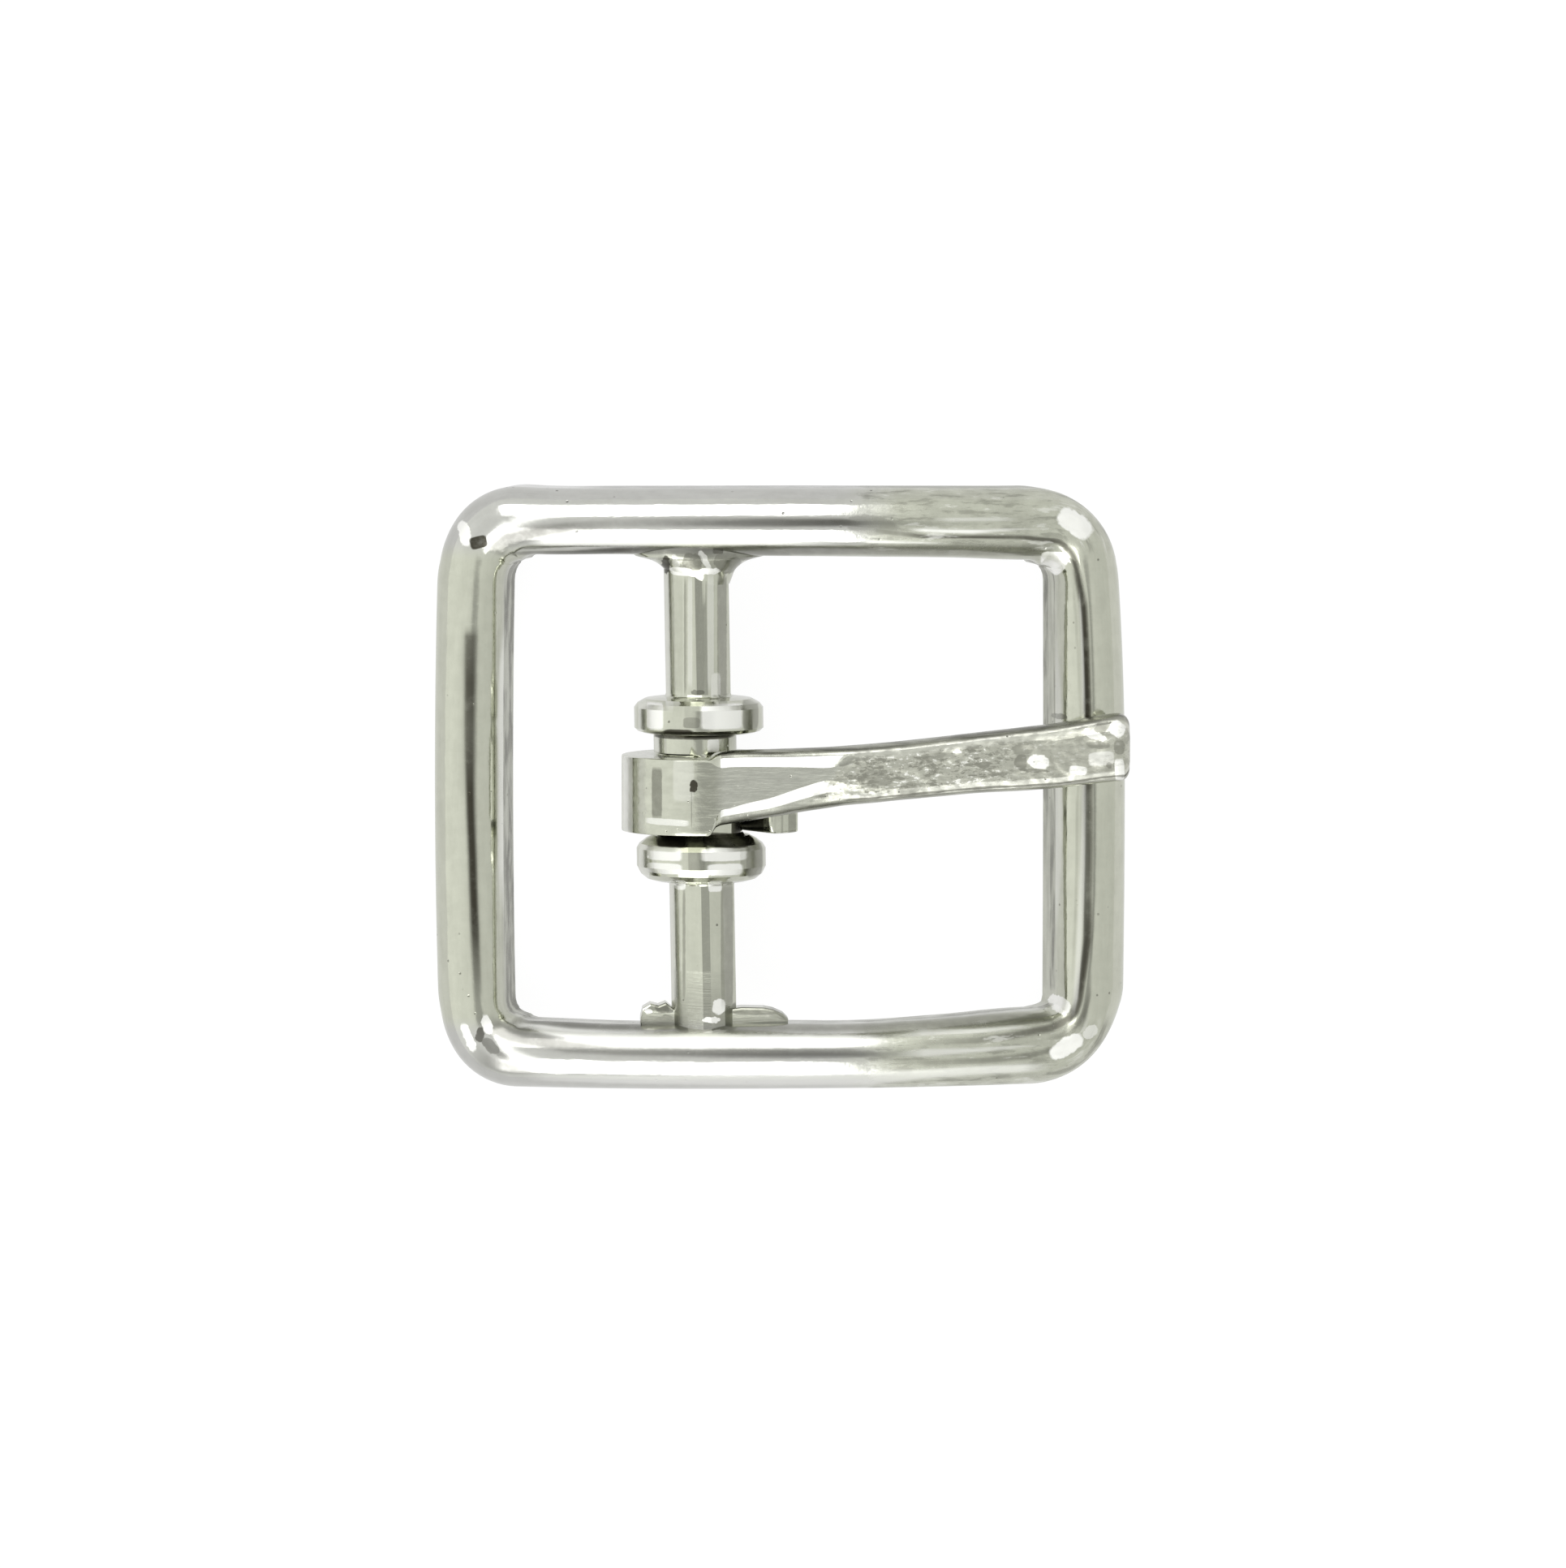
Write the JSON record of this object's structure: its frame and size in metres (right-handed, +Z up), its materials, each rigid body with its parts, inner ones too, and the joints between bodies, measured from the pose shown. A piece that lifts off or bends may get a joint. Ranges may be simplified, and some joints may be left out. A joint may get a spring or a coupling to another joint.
{
  "type": "center bar buckle",
  "caption": "Arched rectangular center bar buckle in worn nickel plate, with domed rails, collared bar and a tongue that turns on the bar and rests on the far rail.",
  "frame": {"origin": "middle of the frame in plan, on the surface that the two end rails lie on", "axes": "+X along the strap from the bar towards the tongue's tip, +Y along the center bar, +Z up through the domed face"},
  "size_m": [0.0286, 0.0248, 0.0067],
  "materials": {
    "frame_nickel": "polished cast nickel plate, lightly worn",
    "tongue_nickel": "cast nickel plate, mottled and worn"
  },
  "bodies": {
    "frame": {"frame": "frame_nickel"},
    "tongue": {"tongue": "tongue_nickel"}
  },
  "joints": [
    {"name": "tongue", "type": "hinge", "parent": "frame", "child": "tongue", "pos_m": [-0.0033, 0, 0.00353], "axis": [0, -1, 0], "range_deg": [0, 160]}
  ]
}
